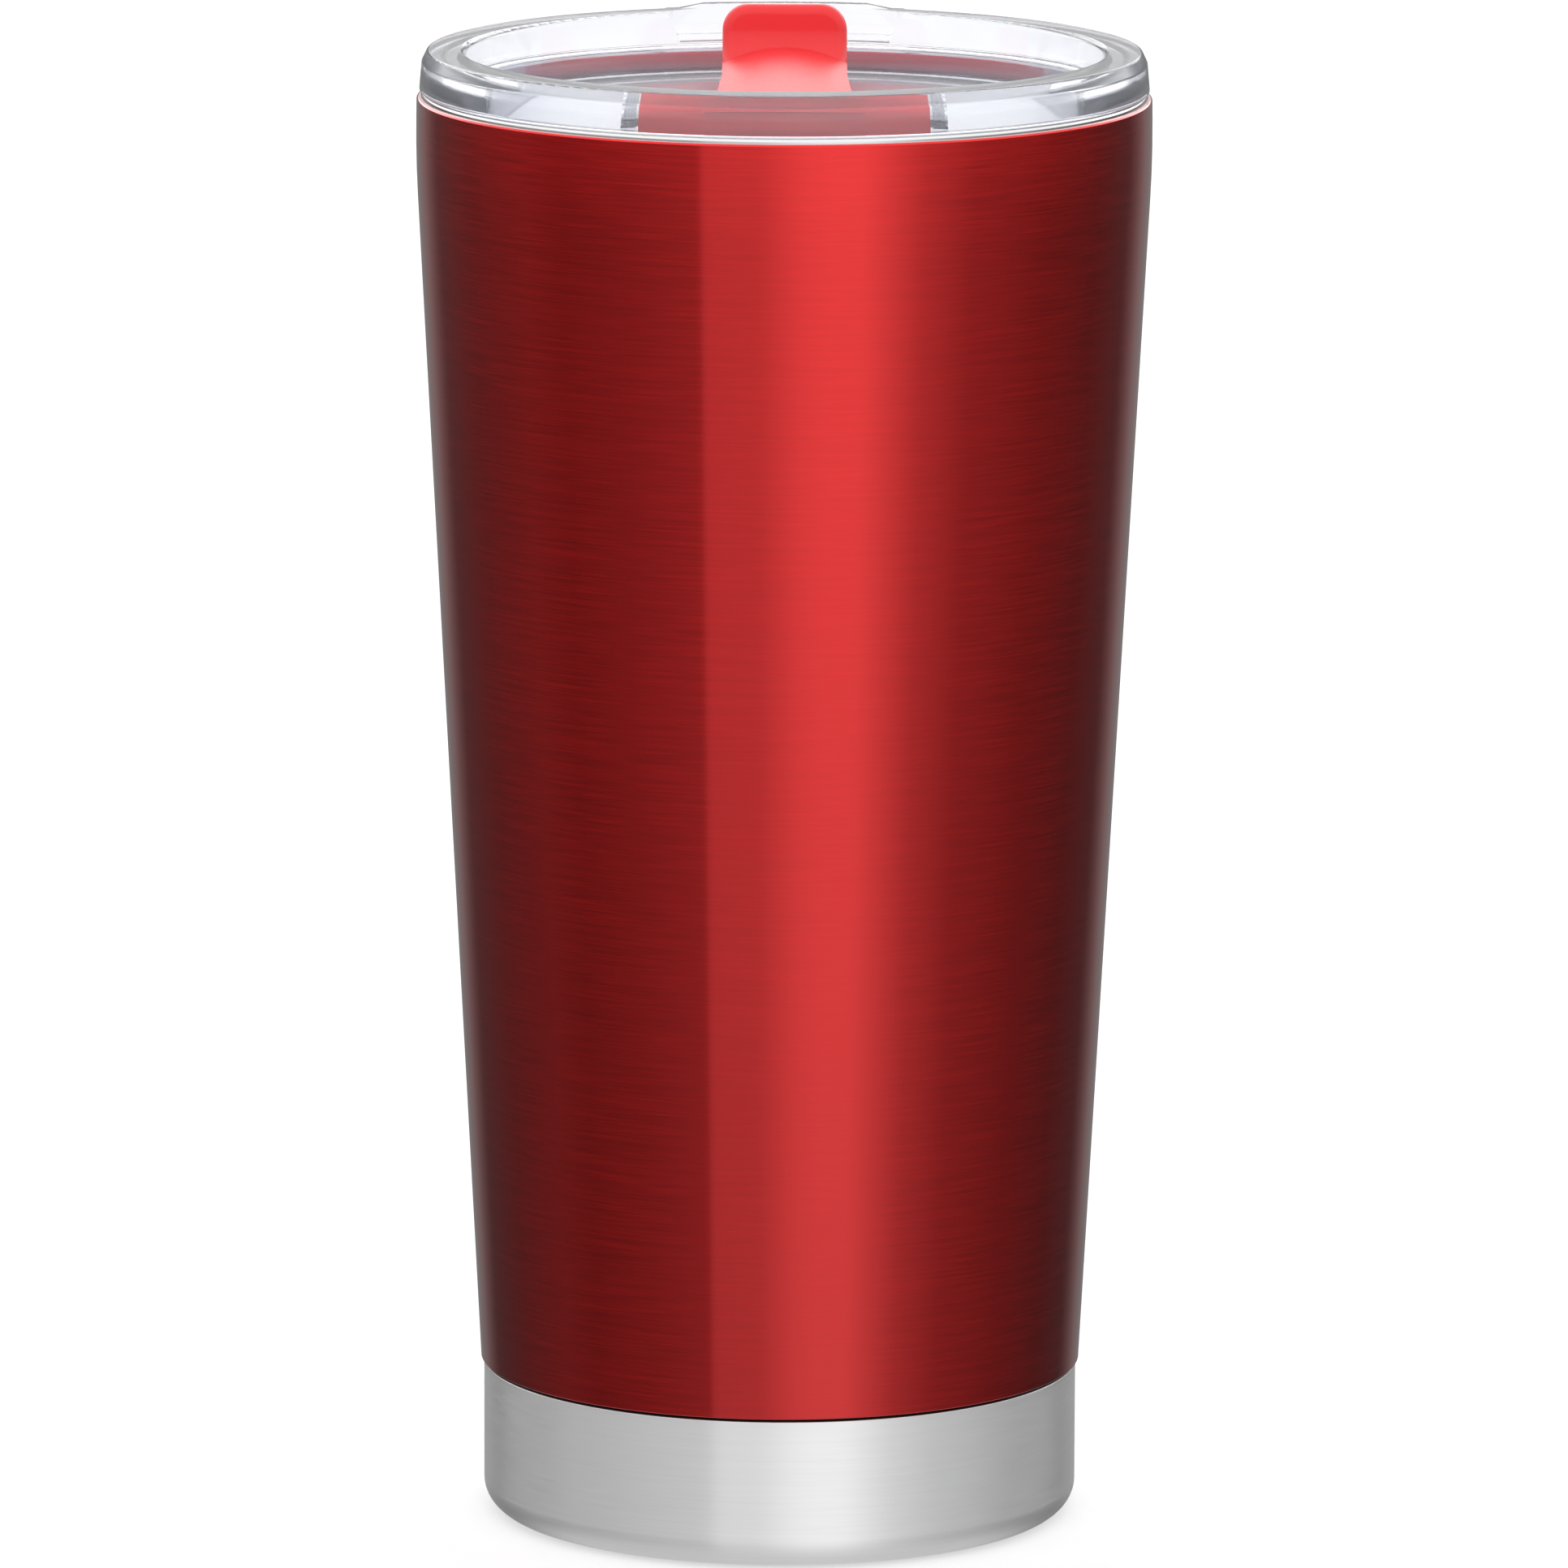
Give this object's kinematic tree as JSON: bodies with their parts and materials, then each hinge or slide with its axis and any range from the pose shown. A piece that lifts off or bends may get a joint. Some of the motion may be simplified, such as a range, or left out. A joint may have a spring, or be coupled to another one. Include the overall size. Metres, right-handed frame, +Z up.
{
  "type": "insulated tumbler",
  "caption": "Tapered double-wall steel drinking tumbler with a bare metal foot, a clear push-in lid and a hinged lever that flips off the drinking slot.",
  "frame": {"origin": "centre of the foot, on the surface that the tumbler stands on", "axes": "+Z up along the body's axis; +Y towards the drinking spout; X along the lever's hinge pin"},
  "size_m": [0.0874, 0.0874, 0.1786],
  "materials": {
    "red_lacquer": "glossy translucent red lacquer over finely brushed steel",
    "bare_steel": "satin, fine horizontal brushing",
    "liner_steel": "polished",
    "copper": "plain foil",
    "solder_glass": "opaque bead",
    "getter_metal": "pressed powder",
    "clear_plastic": "clear, polished",
    "clear_silicone": "translucent",
    "red_plastic": "semi-gloss"
  },
  "bodies": {
    "cup": {"outer_shell": "red_lacquer", "base_cup": "bare_steel", "inner_liner": "liner_steel", "copper_shield": "copper", "shell_floor": "liner_steel", "port_seal": "solder_glass", "getter_pill": "getter_metal", "getter_clip": "liner_steel"},
    "gasket": {"lid_gasket": "clear_silicone"},
    "lid": {"lid_body": "clear_plastic", "hinge_pin": "liner_steel"},
    "lever": {"flip_lever": "red_plastic", "drink_plug": "clear_silicone", "vent_plug": "clear_silicone"}
  },
  "joints": [
    {"name": "lid_lift", "type": "slide", "parent": "cup", "child": "gasket", "axis": [0, 0, 1], "range_m": [0, 0.06]},
    {"name": "lid_turn", "type": "hinge", "parent": "gasket", "child": "lid", "pos_m": [0, 0, 0.1669], "axis": [0, 0, 1], "continuous": true},
    {"name": "lever_flip", "type": "hinge", "parent": "lid", "child": "lever", "pos_m": [0, -0.0295, 0.1718], "axis": [1, 0, 0], "range_deg": [0, 110]}
  ]
}
